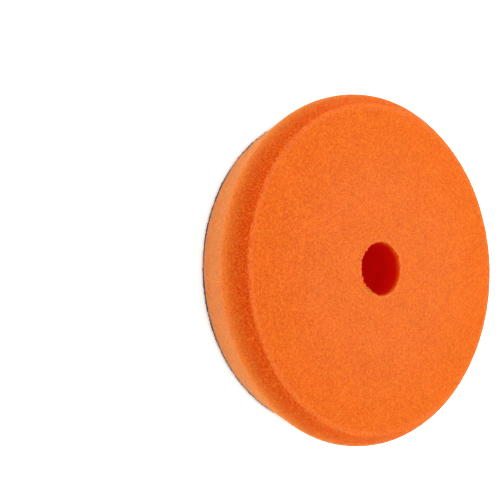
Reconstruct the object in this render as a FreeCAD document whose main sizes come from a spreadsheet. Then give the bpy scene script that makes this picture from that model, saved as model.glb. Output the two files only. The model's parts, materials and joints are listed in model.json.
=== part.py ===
import FreeCAD, Part
import math
import os
import Sketcher

# A flared foam polishing pad for a hand-held random-orbital polisher.
#
# The pad is a thick disc of foam. It flares from its back to a wide waist, turns there in a
# round shoulder and closes again in a bevel up to the flat working face. A die-cut disc of
# loop cloth is bonded to its back by a film of hot-melt adhesive, and one straight hole runs
# down the middle through all three layers.
#
# The pad lies on its loop cloth. The origin is at the centre of the cloth's underside, +Z
# points up along the hole and the working face looks up. Lengths are in millimetres.

DIMENSIONS = (
    ("overall_thickness", 31.0, "from the cloth's underside to the working face"),
    ("waist_diameter", 140.0, "widest part of the foam"),
    ("waist_elevation", 22.25, "height of the widest part above the cloth's underside"),
    ("back_diameter", 128.6, "cloth, film and back of the foam"),
    ("face_diameter", 130.2, "working face, out to the ridge of the bevel"),
    ("shoulder_radius", 9.0, "rounding between the flare and the bevel"),
    ("ridge_radius", 2.0, "rounding between the bevel and the working face"),
    ("hole_diameter", 21.0, "centre hole, through every layer"),
    ("cloth_thickness", 1.2, "knitted ground and brushed nap together"),
    ("film_thickness", 0.2, "hot-melt adhesive"),
)

SHEET_NAME = "Dimensions"
START_POINT = 1
END_POINT = 2
CENTRE_POINT = 3
HORIZONTAL_AXIS = -1
ORIGIN = (-1, 1)
FULL_TURN = 360.0
MATCH_TOLERANCE = 1e-3
CUBIC_MM_PER_CUBIC_CM = 1000.0
PARTS_FOLDER = "parts"


def sheet_cell(alias):
    """The expression that reads a dimension from the sheet."""
    return f"<<{SHEET_NAME}>>.{alias}"


def back_lift():
    """The expression for the height of the foam's back above the cloth's underside."""
    return f"({sheet_cell('cloth_thickness')} + {sheet_cell('film_thickness')})"


def add_dimension_sheet(document):
    """Puts every driving dimension in the spreadsheet, one row each."""
    sheet = document.addObject("Spreadsheet::Sheet", SHEET_NAME)
    sheet.Label = SHEET_NAME
    for row, (alias, value, meaning) in enumerate(DIMENSIONS, start=1):
        sheet.set(f"A{row}", alias)
        sheet.set(f"B{row}", str(value))
        sheet.setAlias(f"B{row}", alias)
        sheet.set(f"C{row}", meaning)
    document.recompute()
    return sheet


def add_body(document, label):
    body = document.addObject("PartDesign::Body", label)
    body.Label = label
    return body


def add_sketch(body, name, plane_role):
    """An empty sketch on one of the body's own origin planes."""
    plane = next(item for item in body.Origin.OriginFeatures if item.Role == plane_role)
    sketch = body.newObject("Sketcher::SketchObject", name)
    sketch.AttachmentSupport = [(plane, "")]
    sketch.MapMode = "FlatFace"
    return sketch


def constrain(sketch, kind, *references):
    sketch.addConstraint(Sketcher.Constraint(kind, *references))


def bind(sketch, name, expression, kind, *references):
    """Adds a measured constraint and ties its value to the sheet."""
    start_value = sketch.evalExpression(expression)
    number = sketch.addConstraint(Sketcher.Constraint(kind, *references, float(start_value)))
    sketch.renameConstraint(number, name)
    sketch.setExpression(f"Constraints.{name}", expression)


def draw_foam_section(sketch, sheet):
    """Half of the foam's cross-section: back, flare, shoulder, bevel, face and hole wall.

    The hole's axis is the sketch's vertical axis, and the back lies on its horizontal one.
    """
    hole_radius = sheet.hole_diameter / 2
    back_radius = sheet.back_diameter / 2
    face_radius = sheet.face_diameter / 2
    back_elevation = sheet.cloth_thickness + sheet.film_thickness
    foam_thickness = sheet.overall_thickness - back_elevation
    shoulder_x = sheet.waist_diameter / 2 - sheet.shoulder_radius
    shoulder_y = sheet.waist_elevation - back_elevation
    quarter_turn = math.pi / 4

    inner_back = FreeCAD.Vector(hole_radius, 0, 0)
    outer_back = FreeCAD.Vector(back_radius, 0, 0)
    outer_face = FreeCAD.Vector(face_radius, foam_thickness, 0)
    inner_face = FreeCAD.Vector(hole_radius, foam_thickness, 0)
    circle = Part.Circle(
        FreeCAD.Vector(shoulder_x, shoulder_y, 0),
        FreeCAD.Vector(0, 0, 1),
        sheet.shoulder_radius,
    )
    arc = Part.ArcOfCircle(circle, -quarter_turn / 2, quarter_turn)
    back = sketch.addGeometry(Part.LineSegment(inner_back, outer_back))
    flare = sketch.addGeometry(Part.LineSegment(outer_back, arc.StartPoint))
    shoulder = sketch.addGeometry(arc)
    bevel = sketch.addGeometry(Part.LineSegment(arc.EndPoint, outer_face))
    face = sketch.addGeometry(Part.LineSegment(outer_face, inner_face))
    hole_wall = sketch.addGeometry(Part.LineSegment(inner_face, inner_back))

    constrain(sketch, "Coincident", back, END_POINT, flare, START_POINT)
    constrain(sketch, "Tangent", flare, END_POINT, shoulder, START_POINT)
    constrain(sketch, "Tangent", shoulder, END_POINT, bevel, START_POINT)
    constrain(sketch, "Coincident", bevel, END_POINT, face, START_POINT)
    constrain(sketch, "Coincident", face, END_POINT, hole_wall, START_POINT)
    constrain(sketch, "Coincident", hole_wall, END_POINT, back, START_POINT)
    constrain(sketch, "Horizontal", face)
    constrain(sketch, "Vertical", hole_wall)
    constrain(sketch, "PointOnObject", back, START_POINT, HORIZONTAL_AXIS)
    constrain(sketch, "PointOnObject", back, END_POINT, HORIZONTAL_AXIS)

    lift = back_lift()
    bind(
        sketch, "hole_radius", f"{sheet_cell('hole_diameter')} / 2",
        "DistanceX", *ORIGIN, back, START_POINT,
    )
    bind(
        sketch, "back_radius", f"{sheet_cell('back_diameter')} / 2",
        "DistanceX", *ORIGIN, back, END_POINT,
    )
    bind(
        sketch, "face_radius", f"{sheet_cell('face_diameter')} / 2",
        "DistanceX", *ORIGIN, face, START_POINT,
    )
    bind(
        sketch, "foam_thickness", f"{sheet_cell('overall_thickness')} - {lift}",
        "DistanceY", *ORIGIN, face, START_POINT,
    )
    bind(
        sketch, "shoulder_radius", sheet_cell("shoulder_radius"),
        "Radius", shoulder,
    )
    bind(
        sketch, "shoulder_reach",
        f"{sheet_cell('waist_diameter')} / 2 - {sheet_cell('shoulder_radius')}",
        "DistanceX", *ORIGIN, shoulder, CENTRE_POINT,
    )
    bind(
        sketch, "shoulder_rise", f"{sheet_cell('waist_elevation')} - {lift}",
        "DistanceY", *ORIGIN, shoulder, CENTRE_POINT,
    )


def ridge_edge(shape, sheet):
    """The name of the circular edge where the bevel meets the working face."""
    for number, edge in enumerate(shape.Edges, start=1):
        curve = edge.Curve
        is_circle = isinstance(curve, Part.Circle)
        if is_circle and abs(curve.Radius - sheet.face_diameter / 2) < MATCH_TOLERANCE:
            return f"Edge{number}"
    raise RuntimeError("the foam has no ridge edge")


def add_foam_body(document, sheet):
    """The foam, turned from its cross-section about the hole's axis."""
    body = add_body(document, "foam_body")
    section = add_sketch(body, "FoamSection", "XZ_Plane")
    draw_foam_section(section, sheet)
    turned = body.newObject("PartDesign::Revolution", "FoamTurned")
    turned.Profile = (section, [""])
    turned.ReferenceAxis = (section, ["V_Axis"])
    turned.Angle = FULL_TURN
    document.recompute()

    ridge = body.newObject("PartDesign::Fillet", "FoamRidge")
    ridge.Base = (turned, [ridge_edge(turned.Shape, sheet)])
    ridge.setExpression("Radius", sheet_cell("ridge_radius"))
    body.Tip = ridge
    body.setExpression("Placement.Base.z", back_lift())
    return body


def add_layer_body(document, label, thickness_alias, elevation=None):
    """A flat ring the size of the pad's back: the cloth or the film."""
    body = add_body(document, label)
    outline = add_sketch(body, f"{label}_outline", "XY_Plane")
    centre = FreeCAD.Vector(0, 0, 0)
    upwards = FreeCAD.Vector(0, 0, 1)
    for edge_name in ("back", "hole"):
        expression = f"{sheet_cell(edge_name + '_diameter')} / 2"
        start_radius = float(outline.evalExpression(expression))
        circle = outline.addGeometry(Part.Circle(centre, upwards, start_radius))
        constrain(outline, "Coincident", circle, CENTRE_POINT, *ORIGIN)
        bind(outline, f"{edge_name}_radius", expression, "Radius", circle)
    layer = body.newObject("PartDesign::Pad", f"{label}_layer")
    layer.Profile = (outline, [""])
    layer.setExpression("Length", sheet_cell(thickness_alias))
    body.Tip = layer
    if elevation:
        body.setExpression("Placement.Base.z", elevation)
    return body


def check_document(document, bodies):
    """Stops unless every object computed, every sketch is fully constrained and every solid is sound."""
    failed = [
        item.Name for item in document.Objects
        if "Invalid" in item.State or "Error" in item.State
    ]
    loose = [
        item.Name for item in document.Objects
        if item.isDerivedFrom("Sketcher::SketchObject") and not item.FullyConstrained
    ]
    unsound = [
        body.Label for body in bodies
        if body.Shape.isNull() or not body.Shape.isValid() or len(body.Shape.Solids) != 1
    ]
    if failed or loose or unsound:
        raise RuntimeError(f"failed: {failed}, loose sketches: {loose}, unsound solids: {unsound}")


def main():
    document = FreeCAD.newDocument("FoamPolishingPad")
    sheet = add_dimension_sheet(document)
    bodies = (
        add_layer_body(document, "loop_cloth", "cloth_thickness"),
        add_layer_body(document, "adhesive_film", "film_thickness", sheet_cell("cloth_thickness")),
        add_foam_body(document, sheet),
    )
    document.recompute()
    check_document(document, bodies)
    os.makedirs(PARTS_FOLDER, exist_ok=True)
    for body in bodies:
        body.Shape.exportStep(os.path.join(PARTS_FOLDER, f"{body.Label}.step"))
        box = body.Shape.optimalBoundingBox()
        volume = body.Shape.Volume / CUBIC_MM_PER_CUBIC_CM
        print(
            f"{body.Label}: {volume:.2f} cm3, {box.XLength:.2f} mm wide, "
            f"from z = {box.ZMin:.2f} to {box.ZMax:.2f} mm"
        )


main()
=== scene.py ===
import json
import math

import bpy
import numpy as np
from mathutils import Matrix, Vector, noise


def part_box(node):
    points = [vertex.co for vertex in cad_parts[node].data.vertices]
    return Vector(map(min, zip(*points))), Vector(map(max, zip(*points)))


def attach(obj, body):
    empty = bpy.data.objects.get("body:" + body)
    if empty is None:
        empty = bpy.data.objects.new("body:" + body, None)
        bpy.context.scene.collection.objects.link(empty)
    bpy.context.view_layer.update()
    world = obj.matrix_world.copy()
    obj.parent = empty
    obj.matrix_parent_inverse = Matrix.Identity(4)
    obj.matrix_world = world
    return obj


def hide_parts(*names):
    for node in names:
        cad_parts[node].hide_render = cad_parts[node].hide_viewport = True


# A flared foam polishing pad that lies on its loop cloth, working face up. The foam is a
# turned skin with open pores in it, the cloth is a knitted ground with a nap of loops under
# it, and a thin bead of hot-melt adhesive shows between them. Lengths are in metres.

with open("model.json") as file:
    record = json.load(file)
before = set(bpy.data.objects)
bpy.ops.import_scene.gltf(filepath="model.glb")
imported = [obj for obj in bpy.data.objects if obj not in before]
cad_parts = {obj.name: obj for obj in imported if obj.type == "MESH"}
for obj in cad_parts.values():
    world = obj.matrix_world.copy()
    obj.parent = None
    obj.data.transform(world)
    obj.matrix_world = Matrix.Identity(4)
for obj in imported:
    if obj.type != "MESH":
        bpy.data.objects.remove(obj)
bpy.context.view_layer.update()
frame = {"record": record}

MM = 0.001
CENTRE_HOLE = next(m for m in frame["record"]["mounts"] if m["name"] == "centre_hole")
FOAM_LOW, FOAM_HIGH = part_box("foam_body")
FILM_LOW, FILM_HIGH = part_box("adhesive_film")
CLOTH_LOW, CLOTH_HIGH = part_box("loop_cloth")

HOLE_RADIUS = CENTRE_HOLE["dims"]["r_mm"] * MM
WAIST_RADIUS = FOAM_HIGH.x
BACK_RADIUS = CLOTH_HIGH.x
WAIST_ELEVATION = 22.25 * MM
FACE_RADIUS = 65.1 * MM
SHOULDER_RADIUS = 9.0 * MM
RIDGE_RADIUS = 2.0 * MM
HOLE_LIP_RADIUS = 0.6 * MM
BACK_EDGE_RADIUS = 0.5 * MM

FOAM_SPACING = 0.7 * MM
LIP_SPACING = 0.25 * MM
FRAYED_BAND = 1.8 * MM
BACKWARD = -0.9  # a normal's Z, where a surface faces the cloth
HIDDEN_SPACING = 3.0 * MM
OUTLINE_STEP = 0.1 * MM
GROUND_THICKNESS = 0.4 * MM
GROUND_SPACING = 0.8 * MM
FILM_SPACING = 1.0 * MM

LOOP_COUNT = 4600
LOOP_POINTS = 5
FIBRE_RADIUS = 0.07 * MM
SKEW_DIRECTION = (0.31, 0.23, 0.92)  # no yarn runs this way, so it can steady the tubes
EDGE_FIBRES_PER_MM = 1.4
EDGE_SLOPE = 1.6 * MM
EDGE_MARGIN = 0.5 * MM

# The camera looks down on the pad from the front, rolled so that the pad's axis points to
# the right of the picture, and the pad stands to the right of the picture's centre.
CAMERA_DISTANCE = 0.4202
CAMERA_ELEVATION = math.radians(48.56)
CAMERA_AIM = Vector((-0.0089, -0.0410, 0.0))
CAMERA_ROLL = math.radians(86.64)
CAMERA_LENS_MM = 72.2

random_numbers = np.random.default_rng(7)


def vary(low, high):
    """A random number between low and high."""
    return low + (high - low) * random_numbers.random()


# --- outlines: lines of (radius, height) points that are turned about the hole's axis ---


def lean(point, centre, radius):
    """How far from upright the line from point leans that touches the circle's outer side."""
    across, along = centre[0] - point[0], abs(centre[1] - point[1])
    return math.asin(radius / math.hypot(across, along)) + math.atan2(across, along)


def arc(centre, radius, start, end):
    """Points along an arc, from one angle above the horizontal to another."""
    count = max(3, round(abs(end - start) * radius / OUTLINE_STEP))
    angles = np.linspace(start, end, count)
    return [(centre[0] + radius * math.cos(a), centre[1] + radius * math.sin(a)) for a in angles]


def rounded_corner(before, corner, after, radius):
    """The arc that rounds the corner between two straight runs."""
    before, corner, after = (np.array(p) for p in (before, corner, after))
    back = (before - corner) / np.linalg.norm(before - corner)
    ahead = (after - corner) / np.linalg.norm(after - corner)
    half_angle = math.acos(back @ ahead) / 2
    middle = (back + ahead) / np.linalg.norm(back + ahead)
    centre = corner + middle * radius / math.sin(half_angle)
    set_back = radius / math.tan(half_angle)
    first, last = (
        math.atan2(*(corner + way * set_back - centre)[::-1]) for way in (back, ahead)
    )
    turn = (last - first + math.pi) % (2 * math.pi) - math.pi
    return arc(centre, radius, first, first + turn)


def evenly(outline, spacing):
    """Points at an even spacing along an outline."""
    outline = np.array(outline)
    steps = np.linalg.norm(np.diff(outline, axis=0), axis=1)
    travelled = np.concatenate([[0.0], np.cumsum(steps)])
    count = max(2, round(travelled[-1] / spacing) + 1)
    at = np.linspace(0.0, travelled[-1], count)
    return np.stack([np.interp(at, travelled, outline[:, i]) for i in (0, 1)], axis=1)


# --- meshes ---


def stitched(first, second):
    """Triangles between two rings, each given as (first index, count, phase in steps)."""
    (start_a, count_a, phase_a), (start_b, count_b, phase_b) = first, second
    a = b = 0
    faces = []
    while a < count_a or b < count_b:
        next_a = (a + 1 + phase_a) / count_a
        next_b = (b + 1 + phase_b) / count_b
        corner_a, corner_b = start_a + a % count_a, start_b + b % count_b
        if b == count_b or (a < count_a and next_a <= next_b):
            faces.append((corner_a, start_a + (a + 1) % count_a, corner_b))
            a += 1
        else:
            faces.append((corner_a, start_b + (b + 1) % count_b, corner_b))
            b += 1
    return faces


def turned_skin(name, outline, spacings, relief, scatter=0.0):
    """A closed skin of even triangles turned from a closed outline.

    spacings is the distance between a ring's points for each point of the outline. relief
    gives how far a point stands out along the surface's normal, and scatter moves the points
    about within the surface, as a share of their spacing.
    """
    before, after = np.roll(outline, 1, axis=0), np.roll(outline, -1, axis=0)
    along = after - before
    along /= np.linalg.norm(along, axis=1)[:, None]
    outward = np.stack([along[:, 1], -along[:, 0]], axis=1)
    points, rings = [], []
    for i, (radius, height) in enumerate(outline):
        spacing = spacings[i]
        count = max(12, round(2 * math.pi * radius / spacing))
        phase = 0.5 * (i % 2)
        rings.append((len(points), count, phase))
        slips = (random_numbers.random((count, 2)) - 0.5) * scatter * spacing
        for k in range(count):
            angle = 2 * math.pi * (k + phase) / count + slips[k, 0] / radius
            ray = Vector((math.cos(angle), math.sin(angle), 0))
            r = radius + slips[k, 1] * along[i, 0]
            z = height + slips[k, 1] * along[i, 1]
            place = ray * r + Vector((0, 0, z))
            normal = ray * outward[i, 0] + Vector((0, 0, outward[i, 1]))
            points.append(place + normal * relief(place, normal))
    faces = []
    for i in range(len(rings)):
        faces += stitched(rings[i], rings[(i + 1) % len(rings)])
    return mesh_object(name, points, faces)


def mesh_object(name, points, faces):
    mesh = bpy.data.meshes.new(name)
    mesh.from_pydata([tuple(p) for p in points], [], faces)
    mesh.validate()
    mesh.polygons.foreach_set("use_smooth", [True] * len(mesh.polygons))
    mesh.update()
    piece = bpy.data.objects.new(name, mesh)
    bpy.context.scene.collection.objects.link(piece)
    return piece


def tubes(name, paths, radius):
    """Thin three-sided closed tubes, one along each path. paths has a row of points per tube."""
    sides = 3
    tube_count, point_count, _ = paths.shape
    tangents = np.gradient(paths, axis=1)
    tangents /= np.linalg.norm(tangents, axis=2)[..., None]
    chords = paths[:, -1] - paths[:, 0]
    steady = np.cross(chords, SKEW_DIRECTION)[:, None, :]
    across = np.cross(tangents, np.cross(steady, tangents))
    across /= np.maximum(np.linalg.norm(across, axis=2), 1e-12)[..., None]
    upright = np.cross(tangents, across)
    angles = 2 * math.pi * np.arange(sides) / sides
    taper = 0.75 + 0.25 * np.sin(np.linspace(0, math.pi, point_count))
    rim = across[:, :, None, :] * np.cos(angles)[:, None]
    rim = rim + upright[:, :, None, :] * np.sin(angles)[:, None]
    points = paths[:, :, None, :] + rim * (radius * taper)[:, None, None]
    faces = []
    for tube in range(tube_count):
        base = tube * point_count * sides
        for ring in range(point_count - 1):
            for side in range(sides):
                here = base + ring * sides + side
                beside = base + ring * sides + (side + 1) % sides
                faces.append((here, beside, beside + sides, here + sides))
        end = base + (point_count - 1) * sides
        faces.append((base + 2, base + 1, base))
        faces.append((end, end + 1, end + 2))
    return mesh_object(name, points.reshape(-1, 3), faces)


# --- relief: how far a surface stands out at a point ---


def smooth_step(low, high, value):
    share = min(1.0, max(0.0, (value - low) / (high - low)))
    return share * share * (3 - 2 * share)


def foam_relief(place, normal):
    """Open pores and torn cell walls, over gentle unevenness, with a frayed edge at the hole.

    The edge is frayed most on its -Y side, and the back is flat. Depths are in millimetres
    up to the last line.
    """
    if normal.z < BACKWARD:
        return 0.0
    cells = noise.voronoi(place / (1.45 * MM))[0][0]
    pit = -0.16 * (1 - smooth_step(0.05, 0.42, cells))
    torn = noise.noise(place / (1.9 * MM)) * 0.07
    waviness = noise.noise(place / (26 * MM)) * 0.14
    from_edge = math.hypot(place.xy.length - HOLE_RADIUS, place.z - FOAM_HIGH.z)
    torn_side = max(0.0, -place.y) / HOLE_RADIUS
    frayed = 0.35 + (1.2 + 2.6 * torn_side) * abs(noise.noise(place / (6 * MM)))
    frayed *= 1 - smooth_step(0.5 * MM, FRAYED_BAND, from_edge)
    return (waviness + pit + torn + frayed * noise.noise(place / (0.7 * MM))) * MM


def film_relief(place, normal):
    """The bead of adhesive that the press squeezed out, thick in places and thin in others."""
    if abs(normal.z) > 0.5:
        return 0.0
    swell = noise.noise(place / (3.1 * MM))
    beads = noise.noise(place / (0.9 * MM))
    return (swell * 0.16 + beads * 0.16) * MM


def ground_relief(place, normal):
    """The knitted ground, brushed rough on its underside."""
    if normal.z > 0.5:
        return 0.0
    tufts = noise.noise(place / (1.7 * MM)) * 0.10 + noise.noise(place / (4.5 * MM)) * 0.05
    return tufts * MM


# --- pieces ---


def foam_outline():
    """The foam's section, with the spacing of the points around each of its rings."""
    shoulder = (WAIST_RADIUS - SHOULDER_RADIUS, WAIST_ELEVATION)
    hole_back = (HOLE_RADIUS, FOAM_LOW.z)
    below_lip = (HOLE_RADIUS, FOAM_HIGH.z - FRAYED_BAND)
    hole_face = (HOLE_RADIUS, FOAM_HIGH.z)
    beyond_lip = (HOLE_RADIUS + FRAYED_BAND, FOAM_HIGH.z)
    ridge = (FACE_RADIUS, FOAM_HIGH.z)
    back_edge = (BACK_RADIUS, FOAM_LOW.z)
    bevel_lean = lean(ridge, shoulder, SHOULDER_RADIUS)
    flare_lean = lean(back_edge, shoulder, SHOULDER_RADIUS)
    turn = arc(shoulder, SHOULDER_RADIUS, bevel_lean, -flare_lean)
    lip = rounded_corner(hole_back, hole_face, ridge, HOLE_LIP_RADIUS)
    outside = rounded_corner(hole_face, ridge, turn[0], RIDGE_RADIUS)
    outside += turn
    outside += rounded_corner(turn[-1], back_edge, hole_back, BACK_EDGE_RADIUS)
    runs = [
        ([hole_back, below_lip], FOAM_SPACING),
        ([below_lip, *lip, beyond_lip], LIP_SPACING),
        ([beyond_lip, *outside], FOAM_SPACING),
        ([outside[-1], hole_back], HIDDEN_SPACING),
    ]
    outline, spacings = [], []
    for run, spacing in runs:
        points = evenly(run, spacing)[:-1]
        outline += list(points)
        spacings += [spacing] * len(points)
    return np.array(outline)[::-1], spacings[::-1]


def make_foam():
    outline, spacings = foam_outline()
    foam = turned_skin("foam_pad", outline, spacings, foam_relief, scatter=0.5)
    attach(foam, "root")
    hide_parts("foam_body")
    return foam


def ring_outline(inner, outer, bottom, top, spacing):
    """A flat ring's section, from its inner lower corner up and round."""
    corners = [(inner, bottom), (inner, top), (outer, top), (outer, bottom), (inner, bottom)]
    sides = [evenly(corners[i : i + 2], spacing)[:-1] for i in range(4)]
    return np.concatenate(sides)[::-1]


def make_film():
    outline = ring_outline(HOLE_RADIUS, BACK_RADIUS, FILM_LOW.z, FILM_HIGH.z, FILM_SPACING)
    film = turned_skin("adhesive_bead", outline, [FILM_SPACING] * len(outline), film_relief)
    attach(film, "root")
    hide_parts("adhesive_film")
    return film


def make_ground():
    bottom = CLOTH_HIGH.z - GROUND_THICKNESS
    outline = ring_outline(HOLE_RADIUS, BACK_RADIUS, bottom, CLOTH_HIGH.z, GROUND_SPACING)
    spacings = [GROUND_SPACING] * len(outline)
    ground = turned_skin("loop_cloth_ground", outline, spacings, ground_relief, scatter=0.3)
    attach(ground, "root")
    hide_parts("loop_cloth")
    return ground


def brushed_direction(place):
    """The way the nap is brushed at a point: mostly along X, with swirls."""
    swirl = noise.noise(Vector((place[0], place[1], 0)) / (19 * MM)) * 1.6
    swirl += random_numbers.normal(0, 0.45)
    return np.array((math.cos(swirl), math.sin(swirl), 0.0))


def loop_path(place, direction):
    """A loop of yarn that leaves the ground, arches down and returns, lower near a cut edge."""
    root = CLOTH_HIGH.z - 0.8 * GROUND_THICKNESS
    radius = math.hypot(place[0], place[1])
    from_edge = min(BACK_RADIUS - radius, radius - HOLE_RADIUS)
    height = root - CLOTH_LOW.z - FIBRE_RADIUS
    height *= 0.4 + 0.6 * smooth_step(0.0, EDGE_SLOPE, from_edge)
    height *= vary(0.78, 1.0)
    span = vary(0.9, 1.8) * MM
    bow = random_numbers.normal(0, 0.18) * MM
    side = np.array((-direction[1], direction[0], 0.0))
    share = np.linspace(0, 1, LOOP_POINTS)
    swell = np.sin(math.pi * share) ** 0.7
    path = place + direction * ((share - 0.5) * span)[:, None] + side * (swell * bow)[:, None]
    path[:, 2] = root - swell * height
    return path


def edge_fibre_path(radius, outward, angle):
    """A loop end at the cloth's cut edge, bent out over it."""
    ray = np.array((math.cos(angle), math.sin(angle), 0.0)) * outward
    side = np.array((-math.sin(angle), math.cos(angle), 0.0))
    high = CLOTH_HIGH.z - 0.3 * GROUND_THICKNESS
    low = high - 0.6 * MM
    start, end = vary(low, high), vary(low, high)
    reach = vary(0.12, 0.32) * MM
    drift = random_numbers.normal(0, 0.5) * MM
    share = np.linspace(0, 1, LOOP_POINTS)
    swell = np.sin(math.pi * share)
    centre = np.array((math.cos(angle), math.sin(angle), 0.0)) * radius
    path = centre + ray * ((swell * reach) - 0.1 * MM)[:, None] + side * (share * drift)[:, None]
    path[:, 2] = start + (end - start) * share
    return path


def make_nap():
    golden_angle = math.pi * (3 - math.sqrt(5))
    inner, outer = HOLE_RADIUS + EDGE_MARGIN, BACK_RADIUS - EDGE_MARGIN
    paths = []
    for i in range(LOOP_COUNT):
        radius = math.sqrt(inner**2 + (outer**2 - inner**2) * (i + 0.5) / LOOP_COUNT)
        angle = i * golden_angle + random_numbers.normal(0, 0.5 * MM) / radius
        place = np.array((radius * math.cos(angle), radius * math.sin(angle), 0.0))
        paths.append(loop_path(place, brushed_direction(place)))
    for radius, outward in ((BACK_RADIUS, 1), (HOLE_RADIUS, -1)):
        for _ in range(round(2 * math.pi * radius / MM * EDGE_FIBRES_PER_MM)):
            angle = vary(0, 2 * math.pi)
            paths.append(edge_fibre_path(radius, outward, angle))
    nap = tubes("loop_cloth_nap", np.array(paths), FIBRE_RADIUS)
    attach(nap, "root")
    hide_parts("loop_cloth")
    return nap


# --- materials ---

# Where a name holds two colours, a noise blends them.
FACE_MIDDLE = ((0.74, 0.145, 0.023, 1), (0.78, 0.157, 0.026, 1))
FACE_RIM = ((0.74, 0.129, 0.010, 1), (0.78, 0.141, 0.012, 1))
# Painted highlight: a lighter band along the ridge, where its rounding catches the light.
RIDGE_HIGHLIGHT = (0.80, 0.160, 0.026, 1)
# A paler ring painted round the hole's lip.
PALE_LIP_RING = (0.80, 0.205, 0.060, 1)
# Painted sheen: the flare, seen side-on, is painted paler than the face; the dust noise blends
# the two.
SHEENED_FLARE = ((0.65, 0.163, 0.039, 1), (0.57, 0.174, 0.062, 1))
# Painted light from below: the lowest band of the flare is painted paler and greyer.
LOW_FLARE_LIGHT = ((0.65, 0.199, 0.070, 1), (0.57, 0.207, 0.100, 1))
# Painted light: the shoulder is painted lighter than the face.
LIT_SHOULDER = (0.81, 0.172, 0.019, 1)
# Painted shade: the bevel, turned away from the lights, is painted darker and redder.
SHADED_BEVEL = (0.75, 0.083, 0.001, 1)
# Painted shade in the hole: deep red, painted lighter near the top as painted light.
SHADED_HOLE_RED = ((0.89, 0.004, 0.0004, 1), (0.95, 0.007, 0.0006, 1))
LIT_UPPER_HOLE_RED = (0.995, 0.014, 0.001, 1)
HOLE_ORANGE = (0.995, 0.170, 0.012, 1)
STRUTS = (0.88, 0.24, 0.018, 1)
PORE_SHADE = (0.78, 0.44, 0.15)
SMALL_PORE_SHADE = (0.84, 0.52, 0.2)
HOT_MELT = ((0.16, 0.07, 0.04, 1), (0.45, 0.24, 0.14, 1))
YARN = ((0.0026, 0.0026, 0.0030, 1), (0.0050, 0.0050, 0.0060, 1))
LIT_FIBRE = (0.028, 0.028, 0.033, 1)
FLOOR_PAINT = ((0.84, 0.84, 0.84, 1), (0.87, 0.87, 0.87, 1))


class Recipe:
    """A node material, with short calls to add nodes and to join them."""

    def __init__(self, name):
        self.material = bpy.data.materials.new(name)
        self.material.use_nodes = True
        self.tree = self.material.node_tree
        self.shader = self.tree.nodes["Principled BSDF"]
        self.place = self.add("ShaderNodeTexCoord").outputs["Object"]

    def add(self, kind, inputs=None, **settings):
        node = self.tree.nodes.new(kind)
        for name, value in settings.items():
            setattr(node, name, value)
        for name, value in (inputs or {}).items():
            if isinstance(value, bpy.types.NodeSocket):
                self.tree.links.new(value, node.inputs[name])
            else:
                node.inputs[name].default_value = value
        return node

    def set(self, **values):
        for name, value in values.items():
            socket = self.shader.inputs[name.replace("_", " ")]
            if isinstance(value, bpy.types.NodeSocket):
                self.tree.links.new(value, socket)
            else:
                socket.default_value = value

    def noise(self, size, detail=3.0, roughness=0.55, place=None):
        inputs = {
            "Vector": place or self.place,
            "Scale": 1 / size,
            "Detail": detail,
            "Roughness": roughness,
        }
        return self.add("ShaderNodeTexNoise", inputs).outputs["Fac"]

    def cells(self, size):
        inputs = {"Vector": self.place, "Scale": 1 / size}
        return self.add("ShaderNodeTexVoronoi", inputs).outputs["Distance"]

    def between(self, value, low, high, to_low=0.0, to_high=1.0):
        """value stretched so that low to high becomes to_low to to_high, and clamped."""
        inputs = {
            "Value": value,
            "From Min": low,
            "From Max": high,
            "To Min": to_low,
            "To Max": to_high,
        }
        return self.add("ShaderNodeMapRange", inputs, interpolation_type="SMOOTHSTEP").outputs[0]

    def blend(self, share, first, second):
        """first where share is 0 and second where it is 1."""
        node = self.add("ShaderNodeMix", data_type="RGBA")
        colours = [s for s in node.inputs if s.type == "RGBA"]
        for socket, value in ((node.inputs[0], share), (colours[0], first), (colours[1], second)):
            if isinstance(value, bpy.types.NodeSocket):
                self.tree.links.new(value, socket)
            else:
                socket.default_value = value
        return next(s for s in node.outputs if s.type == "RGBA")

    def bump(self, height, depth, strength=1.0, normal=None):
        inputs = {"Height": height, "Distance": depth, "Strength": strength}
        if normal:
            inputs["Normal"] = normal
        return self.add("ShaderNodeBump", inputs).outputs["Normal"]


def distance_from_axis(recipe):
    """How far a point is from the hole's axis."""
    across = {0: recipe.place, 1: (1.0, 1.0, 0.0)}
    flat = recipe.add("ShaderNodeVectorMath", across, operation="MULTIPLY").outputs["Vector"]
    return recipe.add("ShaderNodeVectorMath", {0: flat}, operation="LENGTH").outputs["Value"]


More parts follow.
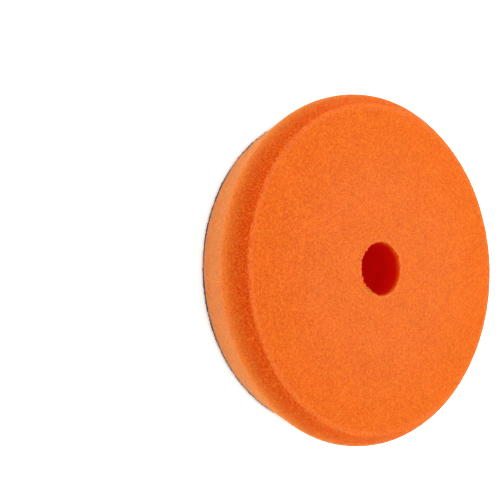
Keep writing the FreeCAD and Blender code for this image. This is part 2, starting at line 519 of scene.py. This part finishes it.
def foam_tone(recipe):
    """The foam's colour without its pores: orange, with painted shade making the bevel darker and
    redder, painted light making the shoulder lighter and painted sheen making the flare paler.
    """
    height = recipe.add("ShaderNodeSeparateXYZ", {0: recipe.place}).outputs["Z"]
    reach = distance_from_axis(recipe)
    top = FOAM_HIGH.z
    clouds = recipe.between(recipe.noise(14 * MM, detail=3.0), 0.3, 0.7)
    dust = recipe.between(recipe.noise(1.1 * MM, detail=4.0, roughness=0.7), 0.38, 0.62)
    middle = recipe.blend(clouds, *FACE_MIDDLE)
    rim = recipe.blend(clouds, *FACE_RIM)
    face = recipe.blend(recipe.between(reach, 0.4 * FACE_RADIUS, 0.95 * FACE_RADIUS), middle, rim)
    # Painted highlight along the ridge.
    ridge_highlight = recipe.between(reach, FACE_RADIUS - 2.4 * MM, FACE_RADIUS - 1.2 * MM)
    face = recipe.blend(ridge_highlight, face, RIDGE_HIGHLIGHT)
    # A paler ring painted round the hole's lip.
    lip = recipe.between(reach, HOLE_RADIUS + 0.6 * MM, HOLE_RADIUS + 1.3 * MM, 1.0, 0.0)
    face = recipe.blend(lip, face, PALE_LIP_RING)
    # Painted sheen on the flare, mottled by the dust noise.
    flare = recipe.blend(dust, *SHEENED_FLARE)
    # Painted light from below on the lowest band of the flare, mottled by the dust noise.
    lit_low_flare = recipe.blend(dust, *LOW_FLARE_LIGHT)
    flare = recipe.blend(recipe.between(height, 4.0 * MM, 6.5 * MM), lit_low_flare, flare)
    up_flare = recipe.between(height, FOAM_LOW.z + 15 * MM, WAIST_ELEVATION + 1.5 * MM)
    up_shoulder = recipe.between(height, WAIST_ELEVATION, top - 1.5 * MM)
    # Painted light on the shoulder, over the painted flare.
    side = recipe.blend(up_flare, flare, LIT_SHOULDER)
    # Painted shade on the bevel.
    side = recipe.blend(up_shoulder, side, SHADED_BEVEL)
    beside_hole = recipe.between(reach, 2 * HOLE_RADIUS, FACE_RADIUS / 2, 1.0, 0.0)
    below_face = recipe.blend(beside_hole, side, face)
    on_face = recipe.between(height, top - 0.6 * MM, top - 0.15 * MM)
    return recipe.blend(on_face, below_face, face)


def hole_tone(recipe):
    """Painted shade: light reaches the hole through the foam, which leaves only the red of it, so
    the wall is painted deep red, lighter higher up as painted light.
    """
    height = recipe.add("ShaderNodeSeparateXYZ", {0: recipe.place}).outputs["Z"]
    low, top = FOAM_LOW.z, FOAM_HIGH.z
    clouds = recipe.between(recipe.noise(6 * MM), 0.35, 0.65)
    # Painted shade: deep red on the wall of the hole.
    red = recipe.blend(clouds, *SHADED_HOLE_RED)
    # Painted light: lighter red higher up the wall.
    up_wall = recipe.between(height, top - 10 * MM, top - 1.5 * MM)
    red = recipe.blend(up_wall, red, LIT_UPPER_HOLE_RED)
    # The painted shade fades to orange near the face and near the cloth.
    near_face = recipe.between(height, top - 3.0 * MM, top - 0.2 * MM)
    red = recipe.blend(near_face, red, HOLE_ORANGE)
    above_cloth = recipe.between(height, low + 1.0 * MM, low + 3.0 * MM)
    return recipe.blend(above_cloth, HOLE_ORANGE, red)


def darkened(depth, colour):
    """White taken a share of the way to a colour."""
    return tuple(1 - depth * (1 - channel) for channel in colour) + (1,)


def foam_material(name, tone_of, pore_shade_depth, red_reach, struts, sheen):
    """Open-cell foam: painted shade makes it deeper in colour inside its pores, with pale torn
    struts between them.
    """
    recipe = Recipe(name)
    pores = recipe.between(recipe.cells(0.95 * MM), 0.08, 0.45)
    small_pores = recipe.between(recipe.cells(0.5 * MM), 0.08, 0.5)
    grain = recipe.noise(0.8 * MM, detail=4.0, roughness=0.65)
    shade = recipe.blend(pores, darkened(pore_shade_depth, PORE_SHADE), (1, 1, 1, 1))
    shade = recipe.blend(small_pores, darkened(pore_shade_depth, SMALL_PORE_SHADE), shade)
    shaded = {0: tone_of(recipe), 1: shade}
    colour = recipe.add("ShaderNodeVectorMath", shaded, operation="MULTIPLY").outputs["Vector"]
    torn = recipe.between(grain, 0.45, 0.66, 0.0, struts)
    colour = recipe.blend(torn, colour, STRUTS)
    normal = recipe.bump(pores, 0.30 * MM, 0.6)
    normal = recipe.bump(small_pores, 0.15 * MM, 0.6, normal)
    normal = recipe.bump(grain, 0.30 * MM, 0.6, normal)
    recipe.set(
        Base_Color=colour,
        Roughness=recipe.between(grain, 0.3, 0.7, 0.82, 0.98),
        Normal=normal,
    )
    recipe.shader.inputs["Specular IOR Level"].default_value = 0.1
    recipe.shader.inputs["Subsurface Weight"].default_value = 1.0
    recipe.shader.inputs["Subsurface Radius"].default_value = (red_reach, 0.35, 0.1)
    recipe.shader.inputs["Subsurface Scale"].default_value = MM
    recipe.shader.inputs["Sheen Weight"].default_value = sheen
    recipe.shader.inputs["Sheen Roughness"].default_value = 0.4
    recipe.shader.inputs["Sheen Tint"].default_value = (1.0, 0.72, 0.32, 1)
    return recipe.material


def film_material():
    """Hot-melt adhesive: cloudy, a little shiny, stained by the foam above it."""
    recipe = Recipe("cloudy_hot_melt")
    clouds = recipe.noise(2.4 * MM, detail=4.0)
    recipe.set(
        Base_Color=recipe.blend(recipe.between(clouds, 0.35, 0.65), *HOT_MELT),
        Roughness=recipe.between(clouds, 0.3, 0.7, 0.35, 0.6),
        Normal=recipe.bump(clouds, 0.1 * MM, 0.5),
    )
    return recipe.material


def cloth_material(name, speck_share):
    """Black brushed nylon: near-black yarn with a few fibres that catch the light."""
    recipe = Recipe(name)
    stretch = recipe.add("ShaderNodeMapping", {"Vector": recipe.place, "Scale": (0.35, 1.0, 1.0)})
    strands = recipe.noise(0.38 * MM, detail=4.0, roughness=0.7, place=stretch.outputs["Vector"])
    patches = recipe.noise(7 * MM, detail=3.0)
    yarn = recipe.blend(recipe.between(patches, 0.35, 0.65), *YARN)
    bright = recipe.between(strands, 0.55, 0.78, 0.0, speck_share)
    colour = recipe.blend(bright, yarn, LIT_FIBRE)
    recipe.set(
        Base_Color=colour,
        Roughness=recipe.between(strands, 0.3, 0.7, 0.6, 0.85),
        Normal=recipe.bump(strands, 0.25 * MM, 0.7),
    )
    recipe.shader.inputs["Specular IOR Level"].default_value = 0.25
    recipe.shader.inputs["Sheen Weight"].default_value = 0.06
    recipe.shader.inputs["Sheen Roughness"].default_value = 0.35
    return recipe.material


def paint(piece, material):
    piece.data.materials.clear()
    piece.data.materials.append(material)


def paint_foam(foam):
    """One foam for the outside and one for the wall of the hole, up into its lip, painted deep
    red as painted shade.
    """
    outside = foam_material(
        "orange_foam", foam_tone, pore_shade_depth=1.0, red_reach=1.2, struts=0.65, sheen=0.10
    )
    hole_wall = foam_material(
        "hole_wall_shade_foam", hole_tone, pore_shade_depth=0.25, red_reach=8.0, struts=0.0, sheen=0.0
    )
    paint(foam, outside)
    foam.data.materials.append(hole_wall)
    for face in foam.data.polygons:
        near_axis = face.center.xy.length < HOLE_RADIUS + 0.6 * HOLE_LIP_RADIUS
        face.material_index = int(near_axis and face.center.z > FOAM_LOW.z)


# --- floor, lights and camera ---


FLOOR_SIDE = 8.0
FLOOR_GLOW = 0.8
ROOM_HORIZON = 1.0
ROOM_CEILING = 0.22
ROOM_FADE = 0.4  # as the sine of the elevation
SOFTBOX_SIDE = 0.6


def floor_material():
    """A pale floor, lit from within so that it stays white, but not under the pad."""
    recipe = Recipe("pale_floor")
    grain = recipe.noise(5 * MM, detail=2.0)
    reach = distance_from_axis(recipe)
    glow = recipe.between(reach, BACK_RADIUS - 6 * MM, BACK_RADIUS + 2 * MM, 0.0, FLOOR_GLOW)
    recipe.set(
        Base_Color=recipe.blend(grain, *FLOOR_PAINT),
        Roughness=0.9,
        Emission_Color=(1, 1, 1, 1),
        Emission_Strength=glow,
    )
    recipe.shader.inputs["Specular IOR Level"].default_value = 0.0
    return recipe.material


def make_floor():
    half = FLOOR_SIDE / 2
    corners = [(-half, -half, 0), (half, -half, 0), (half, half, 0), (-half, half, 0)]
    floor = mesh_object("floor", corners, [(0, 1, 2, 3)])
    paint(floor, floor_material())


def add_softbox(name, place, aim, side, power):
    lamp = bpy.data.lights.new(name, "AREA")
    lamp.shape = "SQUARE"
    lamp.size = side
    lamp.energy = power
    box = bpy.data.objects.new(name, lamp)
    box.location = place
    box.rotation_mode = "QUATERNION"
    box.rotation_quaternion = (Vector(aim) - Vector(place)).to_track_quat("-Z", "Y")
    bpy.context.scene.collection.objects.link(box)


def pale_room():
    """A room that is white near the horizon and dimmer above."""
    world = bpy.data.worlds.new("pale_room")
    world.use_nodes = True
    nodes, links = world.node_tree.nodes, world.node_tree.links
    direction = nodes.new("ShaderNodeTexCoord").outputs["Generated"]
    split, fade = nodes.new("ShaderNodeSeparateXYZ"), nodes.new("ShaderNodeMapRange")
    links.new(direction, split.inputs[0])
    links.new(split.outputs["Z"], fade.inputs["Value"])
    fade.inputs["From Max"].default_value = ROOM_FADE
    fade.inputs["To Min"].default_value = ROOM_HORIZON
    fade.inputs["To Max"].default_value = ROOM_CEILING
    links.new(fade.outputs[0], nodes["Background"].inputs["Strength"])
    nodes["Background"].inputs["Color"].default_value = (1, 1, 1, 1)
    return world


def make_light():
    """A softbox overhead and one to the right of the picture, in a pale room."""
    middle = (0, 0, FOAM_HIGH.z / 2)
    add_softbox("overhead_light", (0, 0, 1.0), middle, SOFTBOX_SIDE, power=6.8)
    add_softbox("right_light", (-0.05, 0.50, 0.87), middle, SOFTBOX_SIDE, power=4.4)
    bpy.context.scene.world = pale_room()


def make_camera():
    camera = bpy.data.objects.new("camera", bpy.data.cameras.new("camera"))
    camera.data.lens = CAMERA_LENS_MM
    camera.data.clip_start = 0.01
    camera.location = (
        0.0,
        -CAMERA_DISTANCE * math.cos(CAMERA_ELEVATION),
        CAMERA_DISTANCE * math.sin(CAMERA_ELEVATION),
    )
    upright = (CAMERA_AIM - camera.location).to_track_quat("-Z", "Y").to_matrix()
    camera.rotation_mode = "QUATERNION"
    camera.rotation_quaternion = (upright @ Matrix.Rotation(CAMERA_ROLL, 3, "Z")).to_quaternion()
    bpy.context.scene.collection.objects.link(camera)
    bpy.context.scene.camera = camera


def main():
    bpy.context.scene.view_settings.view_transform = "Standard"
    make_camera()
    make_light()
    make_floor()
    foam = make_foam()
    film = make_film()
    ground = make_ground()
    nap = make_nap()
    paint_foam(foam)
    paint(film, film_material())
    paint(ground, cloth_material("black_knit_ground", 0.5))
    paint(nap, cloth_material("black_brushed_nap", 0.9))


main()
